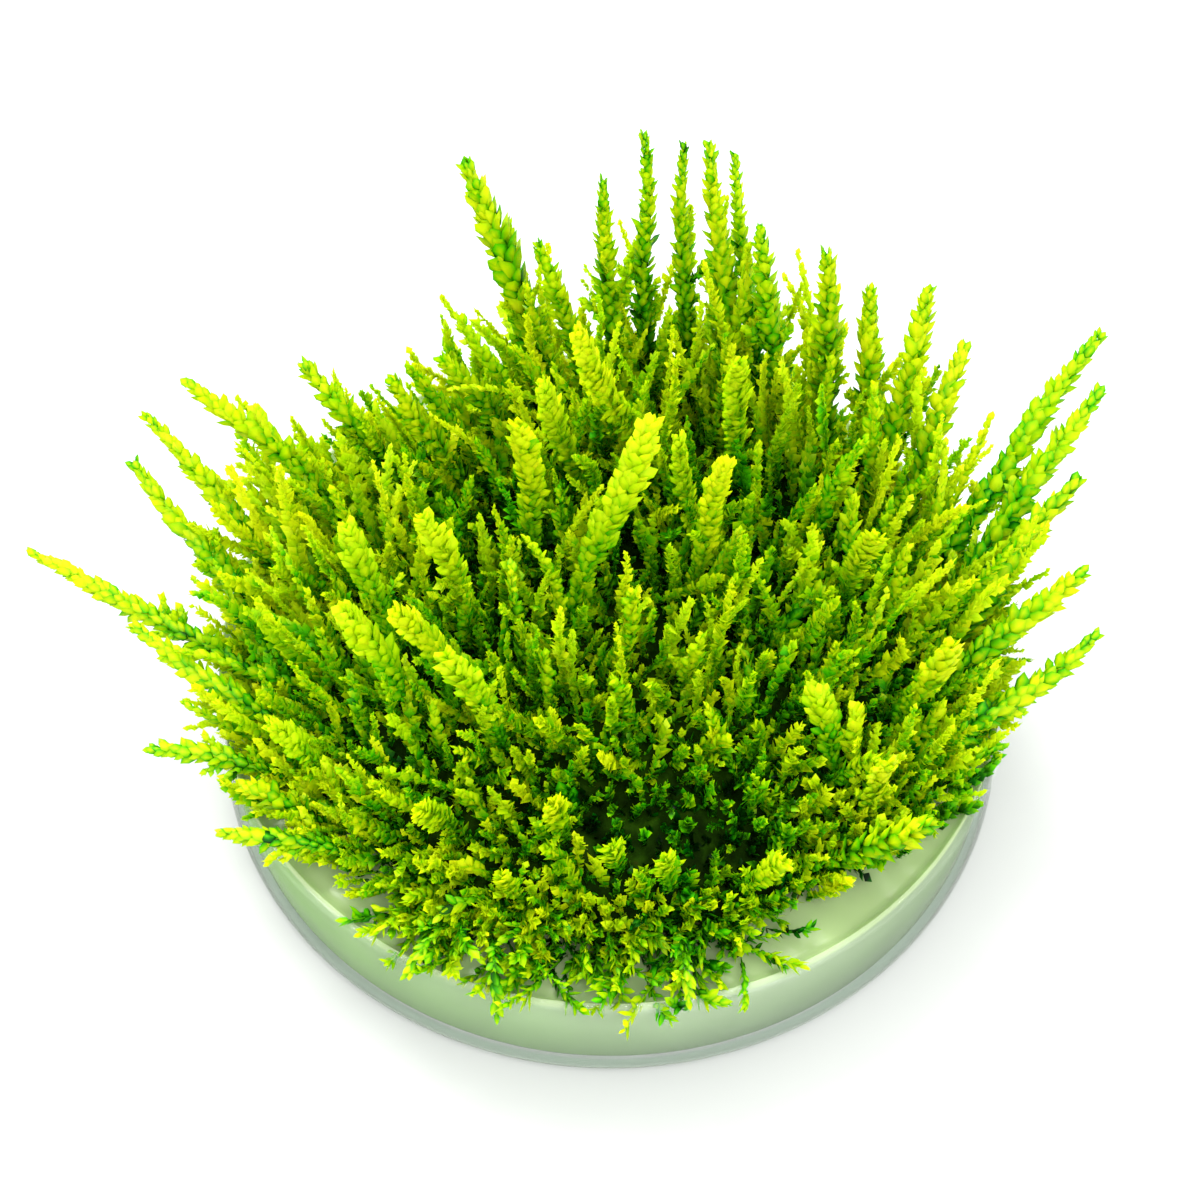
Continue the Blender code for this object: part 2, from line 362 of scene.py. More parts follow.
@dataclass(frozen=True)
class ClearPolystyreneFinish:
    """Injection-moulded clear polystyrene: sharp reflections and a faint cool tint.

    Over the thick foot, from foot_height to foot_band_top, the colour runs up through the
    stops and the cover falls from cover_at_foot to cover: a pale painted highlight along
    the bottom edge, then painted grey-green shade, then the wall's own faint tint.
    """

    name: str = "clear_moulded_polystyrene"
    # Pale painted highlight at the bottom edge, dark painted shade over the foot, then the wall's faint tint.
    stops: tuple[tuple[float, str], ...] = ((0.0, "#9DB3A0"), (0.3, "#5A7050"), (1.0, "#E4EFE2"))
    foot_height: float = 0.3
    foot_band_top: float = 2.5
    roughness: float = 0.06
    ior: float = 1.59
    cover: float = 0.1
    cover_at_foot: float = 0.75

    def material(self) -> bpy.types.Material:
        """Build the dish material.

        Returns:
            A clear wall, with a painted highlight and painted shade over the thick foot.
        """
        material, tree = blank_material(self.name)
        place = add_node(tree, "ShaderNodeTexCoord")
        parts = add_node(tree, "ShaderNodeSeparateXYZ", links={"Vector": place.outputs["Object"]})
        rise = add_node(tree, "ShaderNodeMapRange",
                        {"From Min": self.foot_height * MM, "From Max": self.foot_band_top * MM},
                        {"Value": parts.outputs["Z"]})
        # Painted highlight at the bottom edge, then painted shade, up the foot.
        skin = add_node(tree, "ShaderNodeValToRGB", {"stops": self.stops}, {"Fac": rise.outputs["Result"]})
        cover = add_node(tree, "ShaderNodeMapRange", {"To Min": self.cover_at_foot, "To Max": self.cover},
                         {"Value": rise.outputs["Result"]})
        surface = add_node(tree, "ShaderNodeBsdfPrincipled", {"Roughness": self.roughness, "IOR": self.ior},
                           {"Base Color": skin.outputs["Color"], "Alpha": cover.outputs["Result"]})
        add_node(tree, "ShaderNodeOutputMaterial", links={"Surface": surface.outputs["BSDF"]})
        return material


# ---------------------------------------------------------------- mesh building


@dataclass
class Surface:
    """A piece that is being put together: vertices, triangles and three values for each vertex.

    Youth, which also carries painted shade and light, and tone colour a leaf, and an edge
    between two vertices of the margin is sharp.
    """

    vertices: np.ndarray
    triangles: np.ndarray
    youth: np.ndarray
    tone: np.ndarray
    margin: np.ndarray

    @staticmethod
    def plain(vertices: np.ndarray, triangles: np.ndarray) -> "Surface":
        """Make a surface that is smooth all over and reads neither youth nor tone."""
        nothing = np.zeros(len(vertices))
        return Surface(vertices, triangles, nothing, nothing, nothing.astype(bool))

    @staticmethod
    def joined(parts: list["Surface"]) -> "Surface":
        """Join surfaces into one, moving each part's vertex numbers past the last part's.

        Args:
            parts: The surfaces.

        Returns:
            One surface with everything in it.
        """
        counts = np.cumsum([0] + [len(part.vertices) for part in parts])
        return Surface(
            np.concatenate([part.vertices for part in parts]),
            np.concatenate([part.triangles + start for part, start in zip(parts, counts)]),
            np.concatenate([part.youth for part in parts]),
            np.concatenate([part.tone for part in parts]),
            np.concatenate([part.margin for part in parts]),
        )

    def object(self, name: str, material: bpy.types.Material) -> bpy.types.Object:
        """Put the surface into a mesh object at the origin, smooth but for its sharp margins.

        Args:
            name: The piece's name.
            material: Its only material.

        Returns:
            The linked object.
        """
        mesh = bpy.data.meshes.new(name)
        mesh.vertices.add(len(self.vertices))
        mesh.vertices.foreach_set("co", (self.vertices * MM).astype(np.float32).ravel())
        mesh.loops.add(self.triangles.size)
        mesh.loops.foreach_set("vertex_index", self.triangles.astype(np.int32).ravel())
        mesh.polygons.add(len(self.triangles))
        mesh.polygons.foreach_set("loop_start", np.arange(0, self.triangles.size, 3, dtype=np.int32))
        mesh.update(calc_edges=True)
        mesh.shade_smooth()
        ends = np.empty(len(mesh.edges) * 2, np.int32)
        mesh.edges.foreach_get("vertices", ends)
        sharp = self.margin[ends.reshape(-1, 2)].all(axis=1)
        mesh.attributes.new("sharp_edge", "BOOLEAN", "EDGE").data.foreach_set("value", sharp)
        for key, values in (("youth", self.youth), ("tone", self.tone)):
            mesh.attributes.new(key, "FLOAT", "POINT").data.foreach_set("value", values.astype(np.float32))
        mesh.materials.append(material)
        piece = bpy.data.objects.new(name, mesh)
        bpy.context.scene.collection.objects.link(piece)
        return piece


def tube_triangles(rings: int, sides: int) -> np.ndarray:
    """Triangles of a closed tube: a pole, rings of equal size, and a second pole.

    Vertex 0 is the first pole, the rings follow in order, and the last vertex is the
    second pole.  Going round a ring anticlockwise, as seen from the second pole, keeps
    the faces outwards.

    Args:
        rings: Number of rings.
        sides: Vertices in each ring.

    Returns:
        An array of vertex numbers, three to a row.
    """
    ring = np.arange(rings * sides).reshape(rings, sides) + 1
    after = np.roll(ring, -1, axis=1)
    last = rings * sides + 1
    first_cap = np.stack([np.zeros(sides, int), after[0], ring[0]], axis=1)
    last_cap = np.stack([np.full(sides, last), ring[-1], after[-1]], axis=1)
    low = np.stack([ring[:-1], after[:-1], after[1:]], axis=-1).reshape(-1, 3)
    high = np.stack([ring[:-1], after[1:], ring[1:]], axis=-1).reshape(-1, 3)
    return np.concatenate([first_cap, low, high, last_cap])


def unit(vectors: np.ndarray) -> np.ndarray:
    """Scale vectors, held along the last axis, to length one."""
    return vectors / np.maximum(np.linalg.norm(vectors, axis=-1, keepdims=True), TINY)


def turned_surface(outline: np.ndarray, steps: int) -> Surface:
    """Turn an outline of (radius, height) rows round the Z axis.

    The first and last rows lie on the axis and become the poles; the outline runs from
    the low pole outwards and round to the high pole.

    Args:
        outline: Rows of radius and height in millimetres.
        steps: Number of steps round the axis.

    Returns:
        A closed surface.
    """
    angle = np.linspace(0.0, 2.0 * np.pi, steps, endpoint=False)
    radius, height = outline[1:-1].T
    rings = np.stack([
        radius[:, None] * np.cos(angle),
        radius[:, None] * np.sin(angle),
        np.repeat(height[:, None], steps, axis=1),
    ], axis=-1).reshape(-1, 3)
    vertices = np.concatenate([[[0.0, 0.0, outline[0, 1]]], rings, [[0.0, 0.0, outline[-1, 1]]]])
    return Surface.plain(vertices, tube_triangles(len(radius), steps))


def arc(centre: tuple[float, float], radius: float, start: float, end: float, steps: int) -> np.ndarray:
    """Points (r, z) along an arc, with its start and end angles in degrees."""
    angle = np.radians(np.linspace(start, end, steps + 1))
    return np.stack([centre[0] + radius * np.cos(angle), centre[1] + radius * np.sin(angle)], axis=1)


# ---------------------------------------------------------------- moss leaves and shoots


class LeafDetail(Enum):
    """Where a leaf's cross rings lie along it; a folded leaf has only its midrib and margin."""

    FOLDED = ()
    COARSE = (0.38,)
    MEDIUM = (0.2, 0.62)
    FINE = (0.12, 0.42, 0.76)


@dataclass(frozen=True)
class LeafShape:
    """A cupped, pointed oval leaf of length one in its own axes: along, sideways and outwards.

    Widest is where along the leaf it is broadest, and a higher fullness draws in its ends.
    Cup is the drop of its edges and curl the drop of its tip towards the stem.
    """

    half_width: float = 0.4
    widest: float = 0.38
    fullness: float = 0.7
    cup: float = 0.45
    curl: float = 0.3
    thickness: float = 0.05

    def half_widths(self, u: np.ndarray) -> np.ndarray:
        """Half width of the blade along the leaf.

        It is u to the power widest times (1 - u) to the power 1 - widest, over the peak of
        that, raised to twice the fullness.

        Args:
            u: Shares of the way along the leaf.

        Returns:
            The half width at each share.
        """
        curve = u ** self.widest * (1.0 - u) ** (1.0 - self.widest)
        peak = self.widest ** self.widest * (1.0 - self.widest) ** (1.0 - self.widest)
        return self.half_width * (curve / peak) ** (2.0 * self.fullness)

    def grid(self, detail: LeafDetail) -> tuple[np.ndarray, np.ndarray, np.ndarray, np.ndarray]:
        """Work out the leaf's vertices as a function of length u and angle round it.

        The midrib bends back towards the stem by curl times u squared.  The edges drop
        towards the stem by the cup, and each cross ring is a flat four-sided loop.  A
        folded leaf is a midrib from point to point over a line from margin to margin.

        Args:
            detail: Where the cross rings lie.

        Returns:
            Vertices as (along, side, out), triangles, each vertex's u, and which vertices
            are on the leaf's sharp margin.
        """
        if detail is LeafDetail.FOLDED:
            drop = -max(self.cup * self.half_width, self.curl * self.widest + self.thickness)
            vertices = np.array([[0.0, 0.0, 0.0], [self.widest, self.half_width, drop],
                                 [self.widest, -self.half_width, drop], [1.0, 0.0, -self.curl]])
            triangles = np.array([[0, 1, 3], [0, 3, 2], [0, 2, 1], [1, 2, 3]])
            along, margin = vertices[:, 0], np.ones(4, bool)
        else:
            u = np.array(detail.value)
            width = self.half_widths(u)
            turn = np.arange(4) * np.pi / 2.0
            side = width[:, None] * np.cos(turn)
            lift = (self.thickness * np.sin(turn)[None, :] - self.cup * width[:, None] * np.cos(turn) ** 2
                    - self.curl * u[:, None] ** 2)
            rings = np.stack([np.repeat(u[:, None], 4, axis=1), side, lift], axis=-1).reshape(-1, 3)
            vertices = np.concatenate([[[0.0, 0.0, 0.0]], rings, [[1.0, 0.0, -self.curl]]])
            triangles = tube_triangles(len(u), 4)
            along = vertices[:, 0]
            margin = np.concatenate([[True], np.tile(np.abs(np.cos(turn)) > 0.5, len(u)), [True]])
        a, b, c = vertices[triangles].transpose(1, 0, 2)
        if np.einsum("ij,ij->i", a, np.cross(b, c)).sum() < 0.0:
            triangles = triangles[:, ::-1]
        return vertices, triangles, along, margin


USUAL_LOOKS = {
    "radius": (1.1, 1.5), "youth": (0.5, 0.8), "tone": (0.0, 1.0), "bluntness": (0.2, 0.9),
    "spread": (0.7, 1.0), "flatness": (0.2, 1.0), "twist": (-1.0, 1.0), "bend": (0.0, 0.1),
}


@dataclass
class Shoots:
    """A set of shoots as arrays of one row each.

    A shoot runs on a parabola from foot over knee to tip.  Radius is how far its leaves
    reach, and spread, in radians, how far they stand off its line.  Bluntness runs from
    0, a tapering tip, to 1, a full one.  Flatness runs from 0, leaves all round, to 1,
    leaves spread in one plane like a feather, and twist turns that plane, in radians.
    """

    foot: np.ndarray
    knee: np.ndarray
    tip: np.ndarray
    radius: np.ndarray
    youth: np.ndarray
    tone: np.ndarray
    bluntness: np.ndarray
    spread: np.ndarray
    flatness: np.ndarray
    twist: np.ndarray

    def __len__(self) -> int:
        """Number of shoots."""
        return len(self.foot)

    def length(self) -> np.ndarray:
        """Length of each shoot, taken over its knee as two thirds chord and one third hull."""
        chord = np.linalg.norm(self.tip - self.foot, axis=1)
        hull = np.linalg.norm(self.knee - self.foot, axis=1) + np.linalg.norm(self.tip - self.knee, axis=1)
        return (2.0 * chord + hull) / 3.0

    def chosen(self, mask: np.ndarray) -> "Shoots":
        """Return the shoots for which the mask is true."""
        return Shoots(*(getattr(self, key)[mask] for key in self.__dataclass_fields__))

    @staticmethod
    def grown(foot: np.ndarray, tip: np.ndarray, rng: np.random.Generator,
              **looks: tuple[float, float]) -> "Shoots":
        """Make shoots with even random looks.

        Args:
            foot: Rows of foot places.
            tip: Rows of tip places.
            rng: Seeded random numbers.
            looks: Low and high value of each other field that isn't as usual; bend sets how
                far the knee strays, as a share of the length.

        Returns:
            The shoots.
        """
        many = len(foot)
        span = USUAL_LOOKS | looks
        length = np.linalg.norm(tip - foot, axis=1, keepdims=True)
        bend = rng.normal(0.0, 1.0, (many, 3)) * rng.uniform(*span.pop("bend"), (many, 1)) * length
        return Shoots(foot, (foot + tip) / 2.0 + bend, tip, **{
            key: rng.uniform(low, high, many) for key, (low, high) in span.items()})


@dataclass(frozen=True)
class ShootDresser:
    """Grows a stem and rows of overlapping leaves along each of a set of shoots.

    Divergence is the turn from one leaf to the next, and facing the side to which a flat
    shoot turns.  Wobble is the sideways sway of a shoot as long as wobble_length.  Leaf
    length and standoff, the gap between the shoot's line and a leaf's foot, are shares of
    the shoot's radius.  Outline takes youth from a leaf's margin, as painted shade between
    the leaves, and tip_shade from the shoot's tip, and leaf_youth is what a leaf gains from
    its foot to its point: painted shade at its foot, where the leaf before overlaps it.
    """

    leaves_per_mm: float = 3.0
    divergence: float = 2.0 * math.pi * 0.382
    facing: tuple[float, float, float] = (0.1, -0.55, 0.83)
    stem_radius: float = 0.16
    stem_sides: int = 4
    stem_rings: int = 6
    wobble: float = 0.45
    wobble_length: float = 20.0
    bare_tip: float = 0.75
    leaf_lengths: tuple[float, float] = (0.75, 1.2)
    leaf_widths: tuple[float, float] = (0.85, 1.2)
    leaf_youth: float = 0.34
    disorder: float = 0.2
    leaf_length: float = 1.3
    outline: float = 0.2
    tip_shade: float = 0.0
    standoff: float = 0.0
    shape: LeafShape = LeafShape()
    detail: LeafDetail = LeafDetail.MEDIUM

    def axes(self, shoots: Shoots, owner: np.ndarray, t: np.ndarray) -> tuple[np.ndarray, ...]:
        """Place and axes at shares t along the shoots, on a parabola through foot and tip.

        The point is foot (1 - t) squared + 2 knee t (1 - t) + tip t squared, moved sideways
        by two slow sine waves that start at nothing at the foot and end at nothing at the
        tip.  The first normal lies in the plane in which the leaves spread; that plane
        faces the light, turned by the shoot's twist.

        Args:
            shoots: The shoots.
            owner: Which shoot each place is on.
            t: Share of the way along, one for each place.

        Returns:
            Points, tangents, first normals and second normals.
        """
        foot, knee, tip = shoots.foot[owner], shoots.knee[owner], shoots.tip[owner]
        share = t[:, None]
        point = foot * (1.0 - share) ** 2 + 2.0 * knee * share * (1.0 - share) + tip * share ** 2
        tangent = unit((1.0 - share) * (knee - foot) + share * (tip - knee) + 1e-6)
        chord = unit(shoots.tip - shoots.foot)
        across = unit(np.cross(chord, np.array(self.facing)) + [1e-4, 0.0, 0.0])
        upper = np.cross(across, chord)
        first = (across * np.cos(shoots.twist)[:, None] + upper * np.sin(shoots.twist)[:, None])[owner]
        first = unit(first - tangent * np.sum(first * tangent, axis=1, keepdims=True))
        second = np.cross(first, tangent)
        waves = self.wobble * share * np.minimum(shoots.length() / self.wobble_length, 1.5)[owner, None]
        phase = 9.0 * shoots.tone[owner, None]
        point = point + first * waves * np.sin(5.0 * share + 3.0 * phase) * (1.0 - share ** 3)
        point = point + second * waves * np.sin(7.0 * share + 5.0 * phase) * (1.0 - share ** 3)
        return point, tangent, first, second

    def profile(self, t: np.ndarray, bluntness: np.ndarray) -> np.ndarray:
        """Share of the full radius that the leaves reach: slim at the foot, full, closing at the tip.

        It rises in a straight line from the foot's share to one, stays there, and falls
        towards the tip with the power 1.5 of the way past the start of the fall.

        Args:
            t: Shares of the way along the shoots.
            bluntness: Bluntness of the shoot that each place is on.

        Returns:
            The share at each place.
        """
        foot = 0.85 - 0.6 * bluntness
        rise = foot + (1.0 - foot) * np.clip(t / (0.3 + 0.4 * bluntness), 0.0, 1.0)
        fall = np.clip((t - 0.5 - 0.25 * bluntness) / (0.5 - 0.25 * bluntness), 0.0, 1.0) ** 1.5
        return rise * (1.0 - (0.55 - 0.2 * bluntness) * fall)

    def leaves(self, shoots: Shoots, rng: np.random.Generator) -> Surface:
        """Grow the leaves of all the shoots as one array.

        A leaf points along the tangent turned outwards by its spread, less so near the tip.
        On a flat shoot the leaves at the sides spread wide and turn their blades to face the
        light, and those between lie close along the stem.

        Args:
            shoots: The shoots.
            rng: Seeded random numbers.

        Returns:
            Every leaf's vertices and triangles, with the youth and tone of its shoot.
        """
        length = shoots.length()
        count = np.maximum((length * self.leaves_per_mm).astype(int), 5)
        owner = np.repeat(np.arange(len(shoots)), count)
        many = len(owner)
        order = np.arange(many) - np.repeat(np.cumsum(count) - count, count)
        reach = 1.0 - self.bare_tip * shoots.radius / length
        t = np.clip((order + rng.uniform(-0.2, 0.8, many)) / count[owner], 0.0, 1.0) * reach[owner]
        point, tangent, first, second = self.axes(shoots, owner, t)
        flat = shoots.flatness[owner]
        angle = order * self.divergence + shoots.tone[owner] * 40.0 + rng.normal(0.0, self.disorder, many)
        sideways, upward = np.cos(angle), np.sin(angle)
        ray = unit(first * sideways[:, None] + second * (upward * (1.0 - 0.6 * flat))[:, None])
        opened = 1.0 + 0.2 * flat - 0.55 * flat * np.abs(upward)
        spread = shoots.spread[owner] * opened * (1.0 - 0.5 * t ** 4)
        spread = (spread + rng.normal(0.0, self.disorder * 0.6, many))[:, None]
        axis = tangent * np.cos(spread) + ray * np.sin(spread)
        out = ray * np.cos(spread) - tangent * np.sin(spread)
        turned = (flat * np.abs(sideways) * 0.9)[:, None]
        out = out * (1.0 - turned) + second * turned + rng.normal(0.0, self.disorder * 0.5, (many, 3))
        out = unit(out - axis * np.sum(out * axis, axis=1, keepdims=True))
        side = np.cross(out, axis)
        vertices, triangles, u, margin = self.shape.grid(self.detail)
        profile = self.profile(t, shoots.bluntness[owner])
        point = point + ray * (self.standoff * shoots.radius[owner] * profile)[:, None]
        scale = shoots.radius[owner] * self.leaf_length * profile * rng.uniform(*self.leaf_lengths, many)
        slim = scale * rng.uniform(*self.leaf_widths, many)
        place = (
            point[:, None, :]
            + (scale[:, None] * vertices[:, 0])[..., None] * axis[:, None, :]
            + (slim[:, None] * vertices[:, 1])[..., None] * side[:, None, :]
            + (scale[:, None] * vertices[:, 2])[..., None] * out[:, None, :]
        )
        # Youth falls towards the foot of each shoot: the older leaves there, and painted shade low in the
        # clump.
        lit_and_shaded_youth = shoots.youth[owner] * (0.32 + 0.68 * t ** 0.75) + rng.normal(0.0, 0.1, many)
        lit_and_shaded_youth -= self.tip_shade * np.clip((t - 0.75) / 0.25, 0.0, 1.0) ** 1.5
        tone = np.clip(shoots.tone[owner] + rng.normal(0.0, 0.25, many), 0.0, 1.0)
        numbers = np.arange(many)[:, None, None] * len(vertices)
        # Youth falls at each leaf's margin and at its foot: painted shade between overlapping leaves.
        return Surface(
            place.reshape(-1, 3),
            (triangles[None] + numbers).reshape(-1, 3),
            np.clip(lit_and_shaded_youth[:, None] + self.leaf_youth * (u - 0.5) - self.outline * margin, 0.0, 1.0).ravel(),
            np.repeat(tone, len(vertices)),
            np.tile(margin, many),
        )

    def stems(self, shoots: Shoots) -> Surface:
        """Carry a small round section, thinner towards the tip, along each shoot.

        Args:
            shoots: The shoots.

        Returns:
            The stems, closed at both ends.
        """
        many = len(shoots)
        share = np.linspace(0.0, 0.96, self.stem_rings + 2)
        owner = np.repeat(np.arange(many), len(share))
        point, _, first, second = self.axes(shoots, owner, np.tile(share, many))
        point, first, second = (a.reshape(many, len(share), 3) for a in (point, first, second))
        angle = np.arange(self.stem_sides) * 2.0 * np.pi / self.stem_sides
        girth = self.stem_radius * (1.15 - 0.6 * share[1:-1])[None, :, None, None]
        rings = point[:, 1:-1, None] + girth * (
            first[:, 1:-1, None] * np.cos(angle)[:, None] - second[:, 1:-1, None] * np.sin(angle)[:, None])
        body = np.concatenate([point[:, :1], rings.reshape(many, -1, 3), point[:, -1:]], axis=1)
        triangles = tube_triangles(self.stem_rings, self.stem_sides)
        numbers = np.arange(many)[:, None, None] * body.shape[1]
        along = np.concatenate([[0.0], np.repeat(share[1:-1], self.stem_sides), [1.0]])
        youth = shoots.youth[:, None] * (0.3 + 0.5 * along)
        return Surface(body.reshape(-1, 3), (triangles[None] + numbers).reshape(-1, 3), youth.ravel(),
                       np.repeat(shoots.tone, body.shape[1]), np.zeros(youth.size, bool))

    def dress(self, shoots: Shoots, rng: np.random.Generator) -> Surface:
        """Return stems and leaves of the shoots as one surface."""
        return Surface.joined([self.stems(shoots), self.leaves(shoots, rng)])


def small_leaved(leaves_per_mm: float, stem_rings: int, disorder: float,
                 shape: LeafShape = LeafShape(half_width=0.38, widest=0.45)) -> ShootDresser:
    """Dresser for short shoots in large numbers: folded leaves on a three-sided stem.

    Args:
        leaves_per_mm: Leaves for each millimetre of a shoot.
        stem_rings: Rings along each stem.
        disorder: How far the leaves stray from their order.
        shape: Shape of a leaf.

    Returns:
        The dresser.
    """
    return ShootDresser(leaves_per_mm=leaves_per_mm, stem_sides=3, stem_rings=stem_rings, disorder=disorder,
                        outline=0.0, shape=shape, detail=LeafDetail.FOLDED)


# ---------------------------------------------------------------- sub-assemblies


def keep(piece: bpy.types.Object, slot: str, *nodes: str) -> None:
    """Fasten a piece to the one body and hide the solids it stands for.

    Args:
        piece: The finished piece.
        slot: Name of its material slot; not used.
        nodes: The solids that it replaces.
    """
    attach(piece, BODY)
    if nodes:
        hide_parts(*nodes)
    log.info("%s: %d triangles", piece.name, len(piece.data.polygons))


@dataclass(frozen=True)
class Sector:
    """How the long shoots of one side of the clump look; fullness is leaf reach over stem radius."""

    youth: float
    bluntness: float
    fullness: float
    flatness: float
    spread: float
    sprigs_per_mm: float


@dataclass
class LongShoots:
    """The long named shoots, each grown along the line of its own solid.

    Slim shoots look like chains of leaves and blunt ones like flat fronds.  The hanging
    ones and all side shoots have leaves set wider apart.
    """

    nodes: dict
    sides: int = 6
    seed: int = 11
    hanging: tuple[str, ...] = ("front_shoot_8", "front_shoot_9", "front_shoot_10")
    hanging_fullness: float = 1.2
    hanging_age: float = 0.25
    frond_bluntness: float = 0.5
    chain_dresser: ShootDresser = ShootDresser(
        leaves_per_mm=4.6, leaf_length=1.2, disorder=0.24, outline=0.42, tip_shade=0.4, standoff=0.26,
        wobble=0.7, stem_radius=0.4, shape=LeafShape(half_width=0.36, curl=0.22, cup=0.5))
    frond_dresser: ShootDresser = ShootDresser(
        leaves_per_mm=6.6, leaf_length=1.15, disorder=0.24, outline=0.22, standoff=0.3,
        wobble=0.7, stem_radius=0.35, shape=LeafShape(half_width=0.34, fullness=0.6, curl=0.15, cup=0.3))
    sprig_dresser: ShootDresser = ShootDresser(
        leaves_per_mm=2.4, detail=LeafDetail.FINE, shape=LeafShape(half_width=0.27, curl=0.12, cup=0.3))
    side_dresser: ShootDresser = ShootDresser(leaves_per_mm=4.0, stem_rings=3, detail=LeafDetail.COARSE)
    looks: dict = field(default_factory=lambda: {
        "left": Sector(1.12, 0.3, 1.35, 0.5, 0.74, 0.35),
        "back_left": Sector(1.08, 0.3, 1.25, 0.5, 0.72, 0.3),
        "back": Sector(1.05, 0.2, 1.3, 0.5, 0.7, 0.35),
        "back_right": Sector(1.08, 0.3, 1.4, 0.5, 0.72, 0.3),
        "right": Sector(1.08, 0.3, 1.4, 0.5, 0.74, 0.3),
        "heart": Sector(1.08, 0.7, 1.18, 0.95, 0.6, 0.1),
        "front": Sector(1.04, 0.65, 1.1, 0.9, 0.62, 0.12),
    })

    def line_of(self, name: str) -> tuple[np.ndarray, np.ndarray, np.ndarray, float]:
        """Read a shoot's foot, knee, tip and full radius back from its solid.

        The solid's corners, sorted along its chord, fall into rings of equal count; the
        ring centres are the foot, the middle and the tip.  The knee is twice the middle
        less the mean of foot and tip.

        Args:
            name: The shoot's node.

        Returns:
            Foot, knee and tip in millimetres, and the largest ring radius.
        """
        mesh = self.nodes[name].data
        corners = np.empty(len(mesh.vertices) * 3, np.float32)
        mesh.vertices.foreach_get("co", corners)
        corners = np.unique(np.round(corners.reshape(-1, 3) / MM, 3), axis=0)
        nearest = corners[np.argmin(np.hypot(corners[:, 0], corners[:, 1]) + corners[:, 2])]
        farthest = corners[np.argmax(np.linalg.norm(corners - nearest, axis=1))]
        along = (corners - nearest) @ unit(farthest - nearest)
        rings = corners[np.argsort(along)][: len(corners) // self.sides * self.sides]
        rings = rings.reshape(-1, self.sides, 3)
        centres = rings.mean(axis=1)
        radius = np.linalg.norm(rings - centres[:, None], axis=2).mean(axis=1).max()
        middle = centres[len(centres) // 2]
        return centres[0], 2.0 * middle - (centres[0] + centres[-1]) / 2.0, centres[-1], float(radius)

    def lines(self) -> dict:
        """Return every named shoot's line, keyed by node name."""
        return {name: self.line_of(name) for name in self.nodes if "_shoot_" in name}

    def side_sprigs(self, shoot: Shoots, per_mm: float, rng: np.random.Generator) -> Shoots:
        """Branch short sprigs off the lower half of one shoot.

        Args:
            shoot: The one shoot.
            per_mm: Sprigs for each millimetre of the shoot.
            rng: Seeded random numbers.

        Returns:
            The sprigs, which lean along the shoot and out to its sides.
        """
        length = float(shoot.length()[0])
        many = max(int(length * per_mm), 1)
        owner = np.zeros(many, int)
        point, tangent, first, second = self.side_dresser.axes(shoot, owner, rng.uniform(0.05, 0.5, many))
        sway = rng.choice([-1.0, 1.0], (many, 1)) * first * rng.uniform(0.45, 1.0, (many, 1))
        lean = unit(tangent + sway + second * rng.normal(0.0, 0.35, (many, 1)))
        tip = point + lean * rng.uniform(2.5, min(0.15 * length + 3.0, 6.0), (many, 1))
        youth = float(shoot.youth[0])
        return Shoots.grown(point, tip, rng, radius=(0.8, 1.15), youth=(youth - 0.2, youth),
                            bluntness=(0.1, 0.6))

    def build(self, leaf: bpy.types.Material) -> None:
        """Grow each named shoot as a piece of its own.

        Args:
            leaf: The leaf material.
        """
        rng = np.random.default_rng(self.seed)
        for name, (foot, knee, tip, radius) in self.lines().items():
            look = self.looks[name.split("_shoot_")[0]]
            hangs = name in self.hanging
            fullness = look.fullness * (self.hanging_fullness if hangs else 1.0)
            youth = look.youth - (self.hanging_age if hangs else 0.0)
            one = Shoots(
                foot=foot[None],
                knee=knee[None],
                tip=tip[None],
                radius=np.array([radius * fullness]),
                youth=np.array([youth + rng.uniform(-0.08, 0.08)]),
                tone=rng.uniform(0.0, 1.0, 1),
                bluntness=np.array([look.bluntness]),
                spread=np.array([look.spread]),
                flatness=np.array([look.flatness]),
                twist=rng.uniform(-0.5, 0.5, 1),
            )
            leafy = self.frond_dresser if look.bluntness > self.frond_bluntness else self.chain_dresser
            parts = [(self.sprig_dresser if hangs else leafy).dress(one, rng)]
            sprigs = self.side_sprigs(one, look.sprigs_per_mm, rng)
            parts.append((self.sprig_dresser if hangs else self.side_dresser).dress(sprigs, rng))
            keep(Surface.joined(parts).object(f"leafy_{name}", leaf), "leaf", name)


@dataclass(frozen=True)
class Patch:
    """A place where the growth differs: centre, reach, growth left and change of youth, lowered in the
    hollows as painted shade and raised round the backlit back and sides as painted light.
    """

    x: float
    y: float
    reach: float
    left: float
    youth: float

    def weight(self, place: np.ndarray) -> np.ndarray:
        """Bell curve of distance from the centre, one at the centre."""
        apart = np.hypot(place[:, 0] - self.x, place[:, 1] - self.y)
        return np.exp(-(apart / self.reach) ** 2)


@dataclass
class Growth:
    """One layer of the undergrowth: how many shoots, how long and how they are dressed.

    Length is in millimetres or, in a relative layer, a share of the long shoots' length
    nearby.  Ring is the inner and outer share of the mat's radius, and arc the bearings,
    in degrees, between which the layer stands.  Disorder, spill, lift and swirl are added
    to the direction of growth: at random, outwards at the edge, upwards and round the
    clump.  Thinned is how strongly hollows thin the layer, and front_held how strongly
    the front holds it back.
    """

    name: str
    count: int
    length: tuple[float, float]
    ring: tuple[float, float]
    disorder: float
    dresser: ShootDresser
    looks: dict
    relative: bool = False
    thinned: float = 0.0
    spill: float = 0.2
    arc: tuple[float, float] = (-180.0, 180.0)
    front_held: float = 0.8
    lift: float = 0.3
    swirl: float = 0.0


